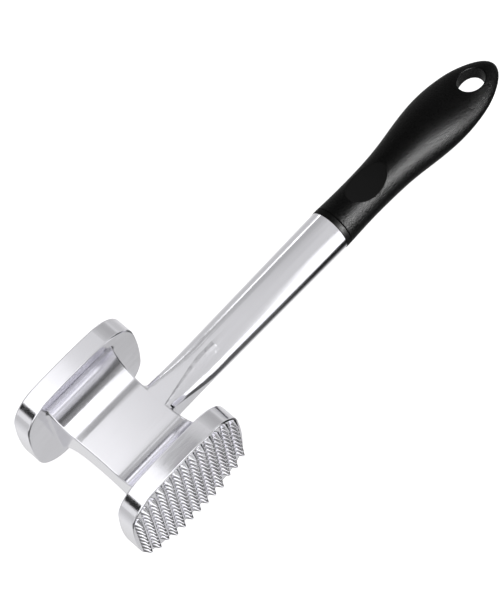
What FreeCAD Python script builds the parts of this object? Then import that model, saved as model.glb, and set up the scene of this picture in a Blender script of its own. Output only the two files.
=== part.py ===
import FreeCAD, Part

import math
import os

from FreeCAD import Placement, Rotation, Vector

# Meat mallet: one aluminium casting (two striking plates, web, shaft and tang) and a black grip
# of several moulded pieces round the tang.  Millimetres.
#
# Every piece is modelled with the shaft's axis on X, from the head to the grip, and X = 0 in the
# middle of the head.  Y is square to the striking faces, with the smooth face on +Y.  Z is the
# sideways direction, up as the mallet lies on a table.  The finished pieces are then moved along Y
# together, so that the origin is the centre of the smooth striking face.

DIMENSIONS = {
    # two striking plates: rounded squares with slightly bulging sides
    "overall_length": 250.0,
    "head_height": 64.6,
    "plate_length": 59.9,
    "plate_breadth": 53.2,
    "plate_thickness": 8.4,
    "plate_corner_radius": 14.4,
    "plate_end_arc": 109.0,
    "plate_side_arc": 172.0,
    "plate_edge_round": 0.7,
    # web between the plates: flat sides level with the shaft, flaring out to the plates
    "web_length": 33.6,
    "web_end_arc": 240.0,
    "web_thickness": 16.4,
    "web_flat_height": 15.6,
    "web_foot_length": 36.0,
    "web_foot_breadth": 42.0,
    "web_flare_radius": 16.8,
    "web_edge_round": 0.7,
    "web_foot_round": 1.2,
    # teeth of the toothed face
    "tooth_height": 2.8,
    "tooth_root": 0.5,
    "tooth_pitch_long": 4.4,
    "tooth_pitch_cross": 4.25,
    "tooth_diameter": 4.1,
    "tooth_dome_radius": 0.6,
    "tooth_margin": 0.4,
    # shaft and tang
    "shaft_root_round": 2.0,
    "tang_diameter": 7.0,
    "tang_length": 66.0,
    # grip
    "clearance": 0.05,
    "overlap": 2.0,
    "collar_width": 2.55,
    "collar_diameter": 19.3,
    "collar_edge_round": 0.3,
    "nose_edge_round": 0.5,
    "core_diameter": 10.4,
    "core_length": 72.0,
    "core_rib_diameter": 14.0,
    "core_rib_width": 3.0,
    "core_rib_place": 158.0,
    "core_rib_pitch": 11.0,
    "pin_diameter": 3.0,
    "thumb_place": 140.1,
    "thumb_length": 21.4,
    "thumb_breadth": 12.8,
    "thumb_seat": 5.9,
    "thumb_floor": 6.9,
    "thumb_scoop_radius": 24.5,
    "thumb_reach": 20.0,
    "hole_place": 205.8,
    "hole_length": 14.2,
    "hole_width": 10.2,
    "hole_rim_round": 0.45,
    "tip_end_lean": -0.6,
}
TOOTH_COLUMNS, TOOTH_ROWS = 13, 12
CORE_RIBS = 3

# Shaft sections are rounded rectangles: place along X, half width in Y, half thickness in Z and
# corner radius.  The shaft is nearly square where it leaves the head, and round at the grip.
SHAFT_SECTIONS = {
    "inside": (12.8, 6.9, 8.2, 2.2),
    "root": (22.0, 7.3, 8.2, 4.0),
    "low": (34.0, 8.15, 8.3, 7.3),
    "middle": (48.0, 8.57, 8.57, 8.5),
    "end": (117.2, 9.5, 9.5, 9.45),
}

# Grip sections are ellipses: place along X, lean in Y, half width in Y, half thickness in Z.
GRIP_SECTIONS = {
    "nose": (119.85, 0.0, 9.65, 9.65),
    "neck": (128.0, 0.0, 9.35, 9.35),
    "waist": (138.5, 0.0, 9.25, 9.2),
    "rise": (150.0, 0.0, 9.6, 9.3),
    "swell": (161.5, 0.1, 10.7, 9.6),
    "belly": (173.0, 0.1, 12.4, 9.9),
    "crest": (184.5, 0.0, 13.42, 9.1),
    "fall": (195.0, -0.15, 12.99, 7.2),
    "shoulder": (204.0, -0.3, 11.38, 5.95),
    "bend": (212.0, -0.45, 8.33, 4.75),
    "tip": (217.6, -0.55, 4.66, 3.1),
}

# Lengths for picking edges: a point counts as on a face within TOUCH, and an edge counts as
# near a place within NEARBY.
TOUCH = 0.01
NEARBY = 1.0

X_AXIS, Y_AXIS, Z_AXIS = Vector(1, 0, 0), Vector(0, 1, 0), Vector(0, 0, 1)
UPRIGHT = Rotation()
ALONG_X = Rotation(Z_AXIS, X_AXIS)
ALONG_Y = Rotation(Z_AXIS, Y_AXIS)
ACROSS_X = Rotation(Y_AXIS, Z_AXIS, X_AXIS, "ZXY")
SIDES = (("upper", 1), ("lower", -1))

doc = FreeCAD.newDocument("meat_mallet")
sheet = doc.addObject("Spreadsheet::Sheet", "Dims")


def fill_sheet():
    """Write each driving dimension into the sheet under its own name."""
    rows = dict(DIMENSIONS)
    for name, section in GRIP_SECTIONS.items():
        for part, value in zip(("place", "lean", "half_width", "half_thickness"), section):
            rows[name + "_" + part] = value
    for name, section in SHAFT_SECTIONS.items():
        for part, value in zip(("place", "half_width", "half_thickness", "corner"), section):
            rows["shaft_" + name + "_" + part] = value
    for row, (name, value) in enumerate(rows.items(), start=1):
        sheet.set("A%d" % row, name)
        sheet.set("B%d" % row, str(value))
        sheet.setAlias("B%d" % row, name)
    doc.recompute()


def size(name):
    """A dimension's value, for the pieces that are shaped in code."""
    return float(sheet.get(name))


def make(kind, name, at=("0", "0", "0"), rotation=UPRIGHT, **sizes):
    """A Part primitive whose sizes and place are expressions of the sheet's cells."""
    thing = doc.addObject(kind, name)
    thing.Placement = Placement(Vector(), rotation)
    for prop, expression in sizes.items():
        thing.setExpression(prop, expression)
    for axis, expression in zip("xyz", at):
        thing.setExpression("Placement.Base." + axis, expression)
    return thing


def block(name, low, lengths):
    length, width, height = lengths
    return make("Part::Box", name, low, Length=length, Width=width, Height=height)


def rod(name, radius, length, at, rotation):
    return make("Part::Cylinder", name, at, rotation, Radius=radius, Height=length)


def combine(kind, name, base, tool):
    """A Part::Cut or Part::Common of two objects."""
    result = doc.addObject(kind, name)
    result.Base = base
    result.Tool = tool
    return result


def cut_all(name, base, tools):
    """Cut several tools from one base."""
    joined = tools[0]
    if len(tools) > 1:
        joined = doc.addObject("Part::MultiFuse", name + "_tools")
        joined.Shapes = tools
    return combine("Part::Cut", name, base, joined)


def fuse(name, pieces):
    joined = doc.addObject("Part::MultiFuse", name)
    joined.Shapes = pieces
    joined.Refine = True
    return joined


def round_edges(name, base, radius, chosen):
    """Round the edges of base that the test picks."""
    doc.recompute()
    edges = [i for i, edge in enumerate(base.Shape.Edges, start=1) if chosen(edge)]
    rounded = doc.addObject("Part::Fillet", name)
    rounded.Base = base
    rounded.Edges = [(i, radius, radius) for i in edges]
    return rounded


def runs_along_y(edge):
    direction = edge.Vertexes[-1].Point - edge.Vertexes[0].Point
    return direction.Length > TOUCH and abs(direction.y) > direction.Length - TOUCH


def lies_flat(edge):
    return edge.BoundBox.YLength < TOUCH


def plate(name, low_y):
    """A striking plate from four large arcs, with round corners and lightly rounded rims."""
    thick = "Dims.plate_thickness"
    lenses = []
    for axis, arc, extent in (("x", "Dims.plate_end_arc", "Dims.plate_length"),
                              ("z", "Dims.plate_side_arc", "Dims.plate_breadth")):
        for end, sign in SIDES:
            shift = "%d * (%s - %s / 2)" % (-sign, arc, extent)
            at = (shift, low_y, "0") if axis == "x" else ("0", low_y, shift)
            lenses.append(rod("%s_%s_arc_%s" % (name, axis, end), arc, thick, at, ALONG_Y))
    outline = lenses[0]
    for i, lens in enumerate(lenses[1:]):
        outline = combine("Part::Common", "%s_outline_%d" % (name, i), outline, lens)
    cornered = round_edges(name + "_corners", outline, size("plate_corner_radius"), runs_along_y)
    return round_edges(name + "_rims", cornered, size("plate_edge_round"), lies_flat)


def on_web_end(edge):
    """True for the long edges of the web's ends, along its flats and flares."""
    box = edge.BoundBox
    on_side = min(abs(box.ZMin), abs(box.ZMax)) > size("web_thickness") / 2 - TOUCH
    between = abs(box.Center.y) < size("head_height") / 2 - size("plate_thickness") - NEARBY
    across = box.XLength > box.YLength
    return on_side and between and not across and box.YLength > NEARBY


def on_web_foot(edge):
    """True for the edges where the web stands on the inner faces of the plates."""
    box = edge.BoundBox
    inner_face = size("head_height") / 2 - size("plate_thickness")
    level = box.YLength < TOUCH and abs(abs(box.Center.y) - inner_face) < TOUCH
    reach = size("web_foot_length") / 2 + NEARBY
    half_foot = size("web_foot_breadth") / 2
    return level and -reach < box.XMin and box.XMax < reach and abs(box.Center.z) < half_foot + NEARBY


def on_shaft_root(edge):
    """True for the edges where the shaft comes out of the web's end."""
    box = edge.BoundBox
    at_end = abs(box.Center.x - size("web_length") / 2) < NEARBY
    beside = abs(box.Center.y) < size("shaft_root_half_width") + NEARBY
    level = abs(box.Center.z) < size("shaft_root_half_thickness") + NEARBY
    return at_end and beside and level and edge.Length > TOUCH


def on_hole_rim(edge):
    """True for the hanging hole's edges on the two sides of the grip."""
    box = edge.BoundBox
    reach = size("hole_length") / 2 + TOUCH
    centred = abs(box.Center.x - size("hole_place")) < reach
    return centred and box.XLength < 2 * reach and abs(box.Center.z) > NEARBY


def is_wide_ring(edge):
    """True for a circle or oval round the outside of the grip, square to the shaft."""
    box = edge.BoundBox
    return box.XLength < TOUCH and box.YLength > size("core_rib_diameter") + NEARBY


def web():
    """The hourglass web: a slab level with the shaft, with a flare to each plate on each side."""
    inner = "(Dims.head_height / 2 - Dims.plate_thickness / 2)"
    foot = "Dims.web_foot_length"
    low_x = "-Dims.web_foot_length / 2"
    pieces = [block("web_slab", (low_x, "-" + inner, "-Dims.web_thickness / 2"),
                    (foot, "2 * " + inner, "Dims.web_thickness"))]
    across = "Dims.web_flat_height / 2"
    centre_z = "(Dims.web_thickness / 2 + Dims.web_flare_radius)"
    for end, y_sign in (("smooth", 1), ("toothed", -1)):
        for side, z_sign in SIDES:
            name = "web_flare_%s_%s" % (end, side)
            low_y = across if y_sign > 0 else "-" + inner
            low_z = "0" if z_sign > 0 else "-Dims.web_foot_breadth / 2"
            solid = block(name + "_block", (low_x, low_y, low_z),
                          (foot, inner + " - " + across, "Dims.web_foot_breadth / 2"))
            hollow = rod(name + "_hollow", "Dims.web_flare_radius", foot,
                         (low_x, "%d * %s" % (y_sign, across), "%d * %s" % (z_sign, centre_z)),
                         ALONG_X)
            pieces.append(combine("Part::Cut", name, solid, hollow))
    straight = fuse("web_straight", pieces)
    ends = []
    for end, sign in SIDES:
        place = "%d * (Dims.web_length / 2 + Dims.web_end_arc)" % sign
        ends.append(rod("web_end_hollow_" + end, "Dims.web_end_arc", "Dims.plate_breadth",
                        (place, "0", "-Dims.plate_breadth / 2"), UPRIGHT))
    hollowed = cut_all("web_hollowed", straight, ends)
    return round_edges("web", hollowed, size("web_edge_round"), on_web_end)


def shaft_section(name):
    """A rounded rectangle square to the shaft, as a closed wire."""
    x, half_y, half_z, corner = (size("shaft_%s_%s" % (name, part))
                                 for part in ("place", "half_width", "half_thickness", "corner"))
    centres = ((half_y - corner, half_z - corner), (corner - half_y, half_z - corner),
               (corner - half_y, corner - half_z), (half_y - corner, corner - half_z))
    arcs = []
    for quarter, (y, z) in enumerate(centres):
        spin = [math.radians(90 * quarter + turn) for turn in (0, 45, 90)]
        arcs.append([Vector(x, y + corner * math.cos(a), z + corner * math.sin(a)) for a in spin])
    edges = []
    for arc, following in zip(arcs, arcs[1:] + arcs[:1]):
        edges += [Part.Arc(*arc).toShape(), Part.makeLine(arc[-1], following[0])]
    wire = doc.addObject("Part::Feature", "shaft_section_" + name)
    wire.Shape = Part.Wire(edges)
    return wire


def shaft():
    """The shaft's two lengths: one that turns from square to round, and a straight taper."""
    sections = [shaft_section(name) for name in SHAFT_SECTIONS]
    lengths = []
    for name, part, ruled in (("shaft_near", sections[:-1], False),
                              ("shaft_far", sections[-2:], True)):
        loft = doc.addObject("Part::Loft", name)
        loft.Sections = part
        loft.Solid = True
        loft.Ruled = ruled
        lengths.append(loft)
    return lengths


def tooth_fits(x, z):
    """True where a tooth's whole base is on the flat of the plate."""
    half_x = size("plate_length") / 2 - size("tooth_margin")
    half_z = size("plate_breadth") / 2 - size("tooth_margin")
    end_arc, side_arc = size("plate_end_arc"), size("plate_side_arc")
    corner = size("plate_corner_radius")
    radius = size("tooth_diameter") / 2
    inside_end = math.hypot(abs(x) - half_x + end_arc, z) <= end_arc - radius
    inside_side = math.hypot(x, abs(z) - half_z + side_arc) <= side_arc - radius
    over_x, over_z = abs(x) - (half_x - corner), abs(z) - (half_z - corner)
    in_corner = min(over_x, over_z) <= 0 or math.hypot(over_x, over_z) <= corner - radius
    return inside_end and inside_side and in_corner


def tooth():
    """A cone with a domed tip, pointing to -Y, and a root to go into the plate."""
    radius, height = size("tooth_diameter") / 2, size("tooth_height")
    root, dome = size("tooth_root"), size("tooth_dome_radius")
    # the flank touches the dome, a circle on the axis, where its radius is square to the flank
    centre = height - dome
    lean = math.atan2(centre, radius) + math.asin(dome / math.hypot(centre, radius))
    outline = [(0, root), (radius, root), (radius, 0),
               (dome * math.sin(lean), -centre - dome * math.cos(lean))]
    middle = (dome * math.sin(lean / 2), -centre - dome * math.cos(lean / 2))
    points = [Vector(x, y, 0) for x, y in outline]
    tip = Vector(0, -height, 0)
    edges = [Part.makeLine(*pair) for pair in zip(points, points[1:])]
    edges += [Part.Arc(points[-1], Vector(*middle, 0), tip).toShape(), Part.makeLine(tip, points[0])]
    return Part.Face(Part.Wire(edges)).revolve(Vector(), Y_AXIS, 360)


def teeth():
    """Domed cones in columns, as many as fit inside the rounded outline of the plate."""
    pattern = tooth()
    face = -size("head_height") / 2
    cones = []
    for column in range(TOOTH_COLUMNS):
        for row in range(TOOTH_ROWS):
            x = (column - (TOOTH_COLUMNS - 1) / 2) * size("tooth_pitch_long")
            z = (row - (TOOTH_ROWS - 1) / 2) * size("tooth_pitch_cross")
            if tooth_fits(x, z):
                cones.append(pattern.translated(Vector(x, face, z)))
    field = doc.addObject("Part::Feature", "teeth")
    field.Shape = Part.makeCompound(cones)
    return field


def casting():
    """The aluminium casting with its tang, drilled for the cross pin."""
    plates = [plate("smooth_plate", "Dims.head_height / 2 - Dims.plate_thickness"),
              plate("toothed_plate", "-Dims.head_height / 2")]
    tang = rod("tang", "Dims.tang_diameter / 2", "Dims.tang_length + Dims.overlap",
               ("Dims.shaft_end_place - Dims.overlap", "0", "0"), ALONG_X)
    head = round_edges("head", fuse("head_sharp", plates + [web()]), size("web_foot_round"),
                       on_web_foot)
    body = round_edges("casting_body", fuse("casting_sharp", [head, tang] + shaft()),
                       size("shaft_root_round"), on_shaft_root)
    toothed = fuse("casting_toothed", [body, teeth()])
    return combine("Part::Cut", "casting", toothed, pin_hole("casting"))


def pin_hole(name):
    """The hole for the cross pin, wider than the pin by the clearance."""
    return rod(name + "_pin_hole", "Dims.pin_diameter / 2 + Dims.clearance",
               "Dims.core_diameter + 2 * Dims.overlap",
               ("Dims.thumb_place", "0", "-Dims.core_diameter / 2 - Dims.overlap"), UPRIGHT)


def collar():
    """The plain ring between the shaft's shoulder and the grip's nose."""
    gap = "Dims.clearance"
    at = ("Dims.shaft_end_place + " + gap, "0", "0")
    ring = rod("collar_ring", "Dims.collar_diameter / 2", "Dims.collar_width", at, ALONG_X)
    bore = rod("collar_bore", "Dims.tang_diameter / 2 + " + gap, "Dims.collar_width", at, ALONG_X)
    return round_edges("collar", combine("Part::Cut", "collar_sharp", ring, bore),
                       size("collar_edge_round"), is_wide_ring)


def core_form(name, grow):
    """The core's outside, made larger all round by grow: a bar with keying ribs."""
    bar = rod(name + "_bar", "Dims.core_diameter / 2 + " + grow, "Dims.core_length + " + grow,
              ("Dims.nose_place", "0", "0"), ALONG_X)
    ribs = [rod("%s_rib_%d" % (name, i), "Dims.core_rib_diameter / 2 + " + grow,
                "Dims.core_rib_width + 2 * " + grow,
                ("Dims.core_rib_place + %d * Dims.core_rib_pitch - %s" % (i, grow), "0", "0"),
                ALONG_X)
            for i in range(CORE_RIBS)]
    return fuse(name + "_form", [bar] + ribs)


def core():
    """The hard core moulded round the tang."""
    bore = rod("core_bore", "Dims.tang_diameter / 2 + Dims.clearance",
               "Dims.shaft_end_place + Dims.tang_length + Dims.clearance - Dims.nose_place",
               ("Dims.nose_place", "0", "0"), ALONG_X)
    return cut_all("core", core_form("core", "0"), [bore, pin_hole("core")])


def grip_form():
    """The grip's outside, lofted through its elliptical sections to the rounded tip."""
    sections = []
    for name in GRIP_SECTIONS:
        sections.append(make("Part::Ellipse", name + "_section",
                             ("Dims.%s_place" % name, "Dims.%s_lean" % name, "0"), ACROSS_X,
                             MajorRadius="Dims.%s_half_width" % name,
                             MinorRadius="Dims.%s_half_thickness" % name))
    end = make("Part::Vertex", "tip_point",
               ("Dims.overall_length - Dims.plate_length / 2", "Dims.tip_end_lean", "0"))
    loft = doc.addObject("Part::Loft", "grip_form")
    loft.Sections = sections + [end]
    loft.Solid = True
    return loft


def thumb_bar(name, sign, grow):
    """The oval window of a thumb rest, from its seat outwards."""
    reach = "Dims.thumb_reach"
    low = "(Dims.thumb_seat - %s)" % grow
    oval = make("Part::Ellipse", name + "_oval",
                ("Dims.thumb_place", "0", low if sign > 0 else "-%s - %s" % (low, reach)),
                MajorRadius="Dims.thumb_length / 2 + " + grow,
                MinorRadius="Dims.thumb_breadth / 2 + " + grow)
    bar = doc.addObject("Part::Extrusion", name)
    bar.Base = oval
    bar.DirMode = "Custom"
    bar.Dir = Z_AXIS
    bar.Solid = True
    bar.setExpression("LengthFwd", reach)
    return bar


def hanging_hole():
    """The straight oval hole near the tip."""
    reach = "Dims.collar_diameter"
    oval = make("Part::Ellipse", "hole_oval", ("Dims.hole_place", "0", "-%s / 2" % reach),
                MajorRadius="Dims.hole_length / 2", MinorRadius="Dims.hole_width / 2")
    hole = doc.addObject("Part::Extrusion", "hanging_hole")
    hole.Base = oval
    hole.DirMode = "Custom"
    hole.Dir = Z_AXIS
    hole.Solid = True
    hole.setExpression("LengthFwd", reach)
    return hole


def skin(form):
    """The black outer grip: the form without the core, the thumb rests and the hanging hole."""
    windows = [thumb_bar("thumb_window_" + side, sign, "Dims.clearance") for side, sign in SIDES]
    cavity = core_form("skin_core", "Dims.clearance")
    holed = cut_all("skin_sharp", form, [cavity, hanging_hole()] + windows)
    rimmed = round_edges("skin_rimmed", holed, size("hole_rim_round"), on_hole_rim)
    return round_edges("skin", rimmed, size("nose_edge_round"), is_wide_ring)


def thumb_inlay(form, side, sign):
    """The soft oval in a thumb rest: its outside is one shallow scoop, curved along X only."""
    bar = thumb_bar("inlay_bar_" + side, sign, "0")
    inside = combine("Part::Common", "inlay_inside_" + side, bar, form)
    scoop_z = "%d * (Dims.thumb_floor + Dims.thumb_scoop_radius)" % sign
    scoop = rod("inlay_scoop_" + side, "Dims.thumb_scoop_radius",
                "2 * Dims.thumb_reach", ("Dims.thumb_place", "-Dims.thumb_reach", scoop_z), ALONG_Y)
    return combine("Part::Cut", "inlay_" + side, inside, scoop)


def pin():
    """The cross pin that holds the core on the tang."""
    return rod("pin", "Dims.pin_diameter / 2", "Dims.core_diameter - 4 * Dims.clearance",
               ("Dims.thumb_place", "0", "-Dims.core_diameter / 2 + 2 * Dims.clearance"), UPRIGHT)


def finish(piece, node):
    """Name the finished piece and move its origin to the smooth face."""
    piece.Label = node
    if not piece.isDerivedFrom("Part::Cylinder"):
        piece.Placement = Placement()
    piece.setExpression("Placement.Base.y", "-Dims.head_height / 2")
    return piece


def check_document():
    for thing in doc.Objects:
        if "Invalid" in thing.State or "Error" in thing.State:
            raise RuntimeError("%s failed: %s" % (thing.Name, thing.State))


def export(pieces):
    """Check every piece and write it to its own STEP file."""
    doc.recompute()
    check_document()
    for piece in pieces:
        if piece.Shape.isNull() or not piece.Shape.isValid():
            raise RuntimeError("%s has no valid shape" % piece.Label)
    os.makedirs("parts", exist_ok=True)
    for piece in pieces:
        piece.Shape.exportStep("parts/%s.step" % piece.Label)
        box = piece.Shape.BoundBox
        print("%-18s %d solid(s) %9.1f mm3  x %.2f..%.2f  y %.2f..%.2f  z %.2f..%.2f"
              % (piece.Label, len(piece.Shape.Solids), piece.Shape.Volume,
                 box.XMin, box.XMax, box.YMin, box.YMax, box.ZMin, box.ZMax))


fill_sheet()
outside = grip_form()
mallet = [
    finish(casting(), "head_and_shaft"),
    finish(collar(), "grip_collar"),
    finish(core(), "grip_core"),
    finish(skin(outside), "grip_skin"),
    finish(pin(), "cross_pin"),
]
for side_name, side_sign in SIDES:
    mallet.append(finish(thumb_inlay(outside, side_name, side_sign), "thumb_inlay_" + side_name))
export(mallet)
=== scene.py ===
import math

import bpy
from mathutils import Matrix, Vector


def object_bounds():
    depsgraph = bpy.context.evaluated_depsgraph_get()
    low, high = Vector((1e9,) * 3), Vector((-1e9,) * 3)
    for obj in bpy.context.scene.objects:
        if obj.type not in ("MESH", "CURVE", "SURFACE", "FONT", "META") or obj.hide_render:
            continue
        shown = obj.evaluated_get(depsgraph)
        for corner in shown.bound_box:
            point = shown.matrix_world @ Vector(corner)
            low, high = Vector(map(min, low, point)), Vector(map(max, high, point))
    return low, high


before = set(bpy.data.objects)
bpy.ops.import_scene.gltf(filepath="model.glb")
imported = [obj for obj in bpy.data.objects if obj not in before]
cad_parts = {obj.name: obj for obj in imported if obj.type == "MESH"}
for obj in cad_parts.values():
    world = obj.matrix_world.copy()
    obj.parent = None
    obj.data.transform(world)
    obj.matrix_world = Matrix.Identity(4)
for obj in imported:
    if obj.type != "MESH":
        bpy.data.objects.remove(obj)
cad_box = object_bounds()
scene = bpy.context.scene

# ---------------------------------------------------------------- node helpers

# the two colour inputs and the colour output of a Mix node set to RGBA
MIX_FIRST, MIX_SECOND, MIX_RESULT = 6, 7, 2
# nearly all of a noise texture's values lie between these
NOISE_LOW, NOISE_HIGH = 0.3, 0.7


def new_material(name):
    """An empty node material with its Principled shader and output."""
    material = bpy.data.materials.new(name)
    material.use_nodes = True
    tree = material.node_tree
    tree.nodes.clear()
    shader = tree.nodes.new("ShaderNodeBsdfPrincipled")
    output = tree.nodes.new("ShaderNodeOutputMaterial")
    tree.links.new(shader.outputs["BSDF"], output.inputs["Surface"])
    return material, tree, shader


def node(tree, kind, inputs=None, **settings):
    """A node with its settings, and its inputs given as values or as sockets to link."""
    made = tree.nodes.new("ShaderNode" + kind)
    for name, value in settings.items():
        setattr(made, name, value)
    for key, value in (inputs or {}).items():
        if isinstance(value, bpy.types.NodeSocket):
            tree.links.new(value, made.inputs[key])
        else:
            made.inputs[key].default_value = value
    return made


def total(tree, first, second):
    """The sum of two values."""
    return node(tree, "Math", {0: first, 1: second}, operation="ADD").outputs[0]


def remap(tree, value, low, high, to_low, to_high, smooth=False):
    """Value carried from low..high to to_low..to_high, and held there outside."""
    kind = "SMOOTHSTEP" if smooth else "LINEAR"
    return node(tree, "MapRange", {"Value": value, "From Min": low, "From Max": high,
                                   "To Min": to_low, "To Max": to_high},
                interpolation_type=kind).outputs["Result"]


def noise_between(tree, fac, low, high):
    """A noise's value spread over low..high."""
    return remap(tree, fac, NOISE_LOW, NOISE_HIGH, low, high)


def blend(tree, factor, first, second):
    """The colour between first and second."""
    inputs = {"Factor": factor, MIX_FIRST: first, MIX_SECOND: second}
    return node(tree, "Mix", inputs, data_type="RGBA").outputs[MIX_RESULT]


def noise(tree, place, scale, detail, rough=0.55):
    """Noise of so many features to the metre."""
    return node(tree, "TexNoise", {"Vector": place, "Scale": scale, "Detail": detail,
                                   "Roughness": rough}).outputs["Fac"]


def streaks(tree, place, scale):
    """Noise drawn out along the axis that has few features to the metre."""
    drawn_out = node(tree, "Mapping", {"Vector": place, "Scale": scale}).outputs["Vector"]
    return noise(tree, drawn_out, 1.0, 2.0)


def bump(tree, height, distance, strength, normal=None):
    inputs = {"Height": height, "Distance": distance, "Strength": strength}
    if normal is not None:
        inputs["Normal"] = normal
    return node(tree, "Bump", inputs).outputs["Normal"]


def object_place(tree):
    return node(tree, "TexCoord").outputs["Object"]


def grey(level):
    return (level, level, level, 1)


# ------------------------------------------------------------------- materials

# colours are linear, and patterns are in features to the metre
ALUMINIUM_DULL, ALUMINIUM_BRIGHT = (0.865, 0.86, 0.905, 1), (0.91, 0.905, 0.94, 1)
ALUMINIUM_PATCHES, ALUMINIUM_WAVES, ALUMINIUM_GRAIN = 45.0, 70.0, 2600.0
ALUMINIUM_LINES = (60.0, 900.0, 900.0)
STEEL = (0.62, 0.61, 0.6, 1)
STEEL_LINES = (900.0, 900.0, 60.0)
BLACK_CLOUD, BLACK_GRAIN = 90.0, 1600.0
# how far the black's colour strays, as a share of it, and its roughness either way
BLACK_CLOUD_DEPTH = 0.2
BLACK_SHINIER, BLACK_DULLER = 0.14, 0.16


def cast_aluminium():
    """Polished casting: faint polishing lines, soft unevenness, and duller patches."""
    material, tree, shader = new_material("cast_aluminium_polished")
    place = object_place(tree)
    shader.inputs["Metallic"].default_value = 1.0
    patches = noise(tree, place, ALUMINIUM_PATCHES, 3.0)
    tint = blend(tree, patches, ALUMINIUM_DULL, ALUMINIUM_BRIGHT)
    tree.links.new(tint, shader.inputs["Base Color"])
    lines = streaks(tree, place, ALUMINIUM_LINES)
    grain = noise(tree, place, ALUMINIUM_GRAIN, 2.0)
    rough = total(tree, noise_between(tree, patches, 0.10, 0.15),
                  noise_between(tree, lines, 0.0, 0.05))
    tree.links.new(rough, shader.inputs["Roughness"])
    waves = noise(tree, place, ALUMINIUM_WAVES, 1.0)
    normal = bump(tree, waves, distance=0.0006, strength=0.05)
    normal = bump(tree, grain, distance=0.00002, strength=0.3, normal=normal)
    normal = bump(tree, lines, distance=0.00002, strength=0.25, normal=normal)
    tree.links.new(normal, shader.inputs["Normal"])
    return material


def moulded_black(name, colour, rough, specular, grain_height):
    """Black moulded plastic or rubber with a fine even grain."""
    material, tree, shader = new_material(name)
    place = object_place(tree)
    shader.inputs["Specular IOR Level"].default_value = specular
    darker, lighter = ((*[c * share for c in colour], 1)
                       for share in (1 - BLACK_CLOUD_DEPTH, 1 + BLACK_CLOUD_DEPTH))
    cloud = noise(tree, place, BLACK_CLOUD, 3.0)
    tree.links.new(blend(tree, cloud, darker, lighter), shader.inputs["Base Color"])
    grain = noise(tree, place, BLACK_GRAIN, 3.0, 0.6)
    speckle = noise_between(tree, grain, rough - BLACK_SHINIER, rough + BLACK_DULLER)
    tree.links.new(speckle, shader.inputs["Roughness"])
    tree.links.new(bump(tree, grain, grain_height, strength=1.0), shader.inputs["Normal"])
    return material


def brushed_steel():
    """Bright steel with lines along the pin."""
    material, tree, shader = new_material("pin_steel_brushed")
    place = object_place(tree)
    shader.inputs["Metallic"].default_value = 1.0
    shader.inputs["Base Color"].default_value = STEEL
    lines = streaks(tree, place, STEEL_LINES)
    tree.links.new(noise_between(tree, lines, 0.2, 0.35), shader.inputs["Roughness"])
    return material


SKIN_BLACK = (0.0015, 0.0015, 0.0015)
CORE_BLACK = (0.02, 0.02, 0.021)
INLAY_BLACK = (0.004, 0.004, 0.004)
FINISHES = {
    "head_and_shaft": cast_aluminium(),
    "grip_skin": moulded_black("skin_grained", SKIN_BLACK, rough=0.34, specular=0.05,
                               grain_height=0.0002),
    "grip_collar": moulded_black("collar_satin", SKIN_BLACK, rough=0.45, specular=0.05,
                                 grain_height=0.00004),
    "grip_core": moulded_black("core_plain", CORE_BLACK, rough=0.5, specular=0.4,
                               grain_height=0.00002),
    "thumb_inlay_upper": moulded_black("inlay_matt", INLAY_BLACK, rough=0.8, specular=0.03,
                                       grain_height=0.00003),
    "cross_pin": brushed_steel(),
}
FINISHES["thumb_inlay_lower"] = FINISHES["thumb_inlay_upper"]
for name, finish in FINISHES.items():
    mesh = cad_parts[name].data
    mesh.materials.clear()
    mesh.materials.append(finish)

# ---------------------------------------------------------------------- studio


def brightness_ramp(tree, value, stops):
    """Grey brightness against a value: stops are (value, brightness), in order."""
    low, high = stops[0][0], stops[-1][0]
    ramp = node(tree, "ValToRGB", {"Fac": remap(tree, value, low, high, 0.0, 1.0)})
    elements = ramp.color_ramp.elements
    while len(elements) < len(stops):
        elements.new(0.5)
    for element, (level, brightness) in zip(elements, stops):
        element.position = (level - low) / (high - low)
        element.color = grey(brightness)
    return ramp.outputs["Color"]


def emitter(name, brightness):
    """A card's glow: one value all over, or stops of (the card's own X, brightness)."""
    material = bpy.data.materials.new(name)
    material.use_nodes = True
    tree = material.node_tree
    tree.nodes.clear()
    if isinstance(brightness, tuple):
        across = node(tree, "SeparateXYZ", {"Vector": object_place(tree)}).outputs["X"]
        colour = brightness_ramp(tree, across, brightness)
    else:
        colour = grey(brightness)
    glow = node(tree, "Emission", {"Color": colour, "Strength": 1.0})
    out = tree.nodes.new("ShaderNodeOutputMaterial")
    tree.links.new(glow.outputs[0], out.inputs["Surface"])
    return material


def rectangle(width, height):
    w, h = width / 2, height / 2
    return ((-w, -h), (w, -h), (w, h), (-w, h))


def flat_mesh(name, corners):
    """A four-cornered face, level with its own origin."""
    mesh = bpy.data.meshes.new(name)
    mesh.from_pydata([(x, y, 0) for x, y in corners], [], [(0, 1, 2, 3)])
    return mesh


def card(name, centre, facing, corners, brightness):
    """A flat studio card that only reflections see: a soft box where it's bright, a flag where
    it's dark.  Facing is the rotation of a card that lies flat with its face up.
    """
    mesh = flat_mesh(name, corners)
    mesh.materials.append(emitter(name + "_face", brightness))
    thing = bpy.data.objects.new(name, mesh)
    scene.collection.objects.link(thing)
    thing.matrix_world = Matrix.Translation(centre) @ facing
    thing.visible_camera = thing.visible_diffuse = thing.visible_shadow = False


# (height of the direction, brightness): -1 is straight down, and the last stop holds above it
SKY_BEHIND = ((-1.0, 0.62), (-0.87, 0.85), (-0.64, 0.74), (-0.34, 0.58), (0.0, 0.58),
              (0.10, 0.72), (0.25, 0.46), (0.47, 0.44), (0.73, 0.50), (0.90, 0.62), (0.97, 0.68))
SKY_FRONT = ((-1.0, 0.62), (-0.905, 0.64), (-0.87, 0.12), (-0.50, 0.08), (-0.38, 0.9),
             (0.3, 0.66), (0.9, 0.66))
SKY_JOIN = 0.15


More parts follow.
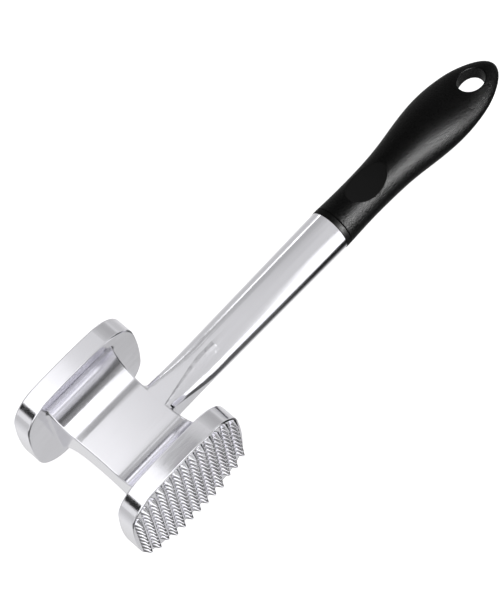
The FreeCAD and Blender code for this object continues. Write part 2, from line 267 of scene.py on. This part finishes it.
def studio_world():
    """The studio's walls and ceiling: one gradient on the toothed side, one on the smooth side."""
    world = bpy.data.worlds.new("studio")
    scene.world = world
    world.use_nodes = True
    tree = world.node_tree
    tree.nodes.clear()
    direction = node(tree, "TexCoord").outputs["Generated"]
    split = node(tree, "SeparateXYZ", {"Vector": direction})
    behind = brightness_ramp(tree, split.outputs["Z"], SKY_BEHIND)
    front = brightness_ramp(tree, split.outputs["Z"], SKY_FRONT)
    share = remap(tree, split.outputs["Y"], -SKY_JOIN, SKY_JOIN, 0.0, 1.0, smooth=True)
    back = node(tree, "Background", {"Color": blend(tree, share, front, behind),
                                     "Strength": 1.0})
    out = tree.nodes.new("ShaderNodeOutputWorld")
    tree.links.new(back.outputs[0], out.inputs["Surface"])


FLOOR_WIDTH = 12.0
FLOOR_GREY, FLOOR_ROUGHNESS, FLOOR_GLOW = 0.85, 0.9, 0.75
FLOOR_GAP = 0.0002


def floor():
    """A pale floor just under the mallet, with a glow that keeps it near white."""
    material, _, shader = new_material("floor_white")
    shader.inputs["Base Color"].default_value = grey(FLOOR_GREY)
    shader.inputs["Roughness"].default_value = FLOOR_ROUGHNESS
    shader.inputs["Emission Color"].default_value = grey(1)
    shader.inputs["Emission Strength"].default_value = FLOOR_GLOW
    mesh = flat_mesh("floor", rectangle(FLOOR_WIDTH, FLOOR_WIDTH))
    mesh.materials.append(material)
    thing = bpy.data.objects.new("floor", mesh)
    scene.collection.objects.link(thing)
    thing.location = (0, 0, cad_box[0].z - FLOOR_GAP)
    thing.visible_glossy = False


def aimed(place, target):
    """The placement of a light or camera that looks from place to target."""
    turn = (Vector(target) - Vector(place)).to_track_quat("-Z", "Y").to_matrix().to_4x4()
    return Matrix.Translation(place) @ turn


def grip_light(name, place, target, width, height, power):
    """A soft light that falls on the black grip only."""
    data = bpy.data.lights.new(name, "AREA")
    data.shape = "RECTANGLE"
    data.size, data.size_y = width, height
    data.energy = power
    thing = bpy.data.objects.new(name, data)
    scene.collection.objects.link(thing)
    thing.matrix_world = aimed(place, target)
    thing.visible_diffuse = False
    lit = bpy.data.collections.new(name + "_receivers")
    for part in ("grip_skin", "grip_collar", "thumb_inlay_upper", "thumb_inlay_lower"):
        lit.objects.link(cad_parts[part])
    thing.light_linking.receiver_collection = lit


studio_world()
floor()
LEVEL = Matrix()
UPRIGHT = Matrix.Rotation(math.radians(90), 4, "X")
SIDEWAYS = Matrix.Rotation(math.radians(90), 4, "Z") @ UPRIGHT
LEANING = SIDEWAYS @ Matrix.Rotation(math.radians(30), 4, "X")

# the planes of the upright cards on the toothed side, in y
FRONT, BEFORE_FRONT, PAST_FRONT = -0.45, -0.449, -0.46
NEAR_TEETH, NEAR_SHAFT = -0.13, -0.12
# brightness: a flag with hardly any light, and a card as bright as the wall in front, which
# hides a soft box and doesn't show as a flag
DARK, WALL = 0.01, 0.66

# above the mallet
card("softbox_front_top", (-0.135, -0.1825, 0.27), LEVEL, rectangle(0.436, 0.245), 1.5)
card("softbox_left_top", (-0.08, 0.10, 0.30), LEVEL, rectangle(0.56, 0.30),
     ((-0.28, 1.3), (0.06, 1.25), (0.128, 0.97), (0.143, 0.80), (0.17, 0.73), (0.203, 0.70),
      (0.28, 0.56)))
card("flag_top", (0.0585, -0.008, 0.265), LEVEL, rectangle(0.077, 0.072),
     ((-0.0385, 0.40), (0.0385, 0.285)))

# beyond the head's end
card("flag_left", (-0.45, 0.12, 0.28), LEANING, rectangle(0.5, 0.26), DARK)
card("softbox_left", (-0.5, 0.14, 0.05), SIDEWAYS, rectangle(0.30, 0.16), 0.85)
card("flag_left_low", (-0.5, -0.40, -0.12), SIDEWAYS, rectangle(0.35, 0.30), 0.2)

# on the toothed side
card("softbox_front_left", (-0.26, FRONT, 0.215), UPRIGHT, rectangle(0.58, 0.47), 1.3)
card("softbox_front", (0.155, FRONT, -0.08), UPRIGHT, rectangle(0.25, 0.22), 1.4)
card("softbox_front_right", (0.0, FRONT, 0.0), UPRIGHT,
     ((0.165, 0.03), (0.28, 0.03), (0.29, 0.42), (0.262, 0.42)), 1.4)
card("flag_front_high", (0.0025, BEFORE_FRONT, 0.335), UPRIGHT, rectangle(0.305, 0.19), 0.22)
card("flag_right", (0.925, PAST_FRONT, -0.09), UPRIGHT, rectangle(1.35, 1.02), DARK)

# close to the toothed side: the first gives the teeth dark sides, and the other two keep the
# front soft boxes out of the shaft's root, where they would show as bright wedges
card("flag_teeth", (0.0, NEAR_TEETH, 0.0), UPRIGHT,
     ((-0.05, 0.03), (0.055, 0.03), (0.055, 0.076), (-0.05, 0.076)), 0.10)
card("flag_shaft_root", (0.0, NEAR_SHAFT, 0.0), UPRIGHT,
     ((0.05, 0.014), (0.08, 0.022), (0.092, 0.10), (0.05, 0.10)), WALL)
card("flag_shaft_root_high", (0.0, NEAR_SHAFT, 0.0), UPRIGHT,
     ((0.06, 0.09), (0.10, 0.09), (0.10, 0.22), (0.06, 0.22)), WALL)

# on the smooth side
card("strip_back", (0.37, 0.5, 0.14), UPRIGHT, rectangle(0.37, 0.05), 2.5)
card("strip_back_high", (0.13, 0.4, 0.34), UPRIGHT, rectangle(0.09, 0.04), 1.0)

grip_light("grip_softbox", place=(0.28, -0.45, 0.26), target=(0.17, -0.04, 0),
           width=0.25, height=0.20, power=33.0)

# ---------------------------------------------------------------------- camera

CAMERA_PLACE = (-0.1488, -0.3094, 0.7579)
CAMERA_TARGET = (0.0751, -0.0280, 0.0)
CAMERA_ROLL = math.radians(9.886)
CAMERA_LENS, CAMERA_SENSOR = 127.4, 36.0

camera_data = bpy.data.cameras.new("camera")
camera_data.lens = CAMERA_LENS
camera_data.sensor_width = CAMERA_SENSOR
camera = bpy.data.objects.new("camera", camera_data)
scene.collection.objects.link(camera)
camera.matrix_world = aimed(CAMERA_PLACE, CAMERA_TARGET) @ Matrix.Rotation(-CAMERA_ROLL, 4, "Z")
scene.camera = camera
scene.view_settings.view_transform = "Standard"
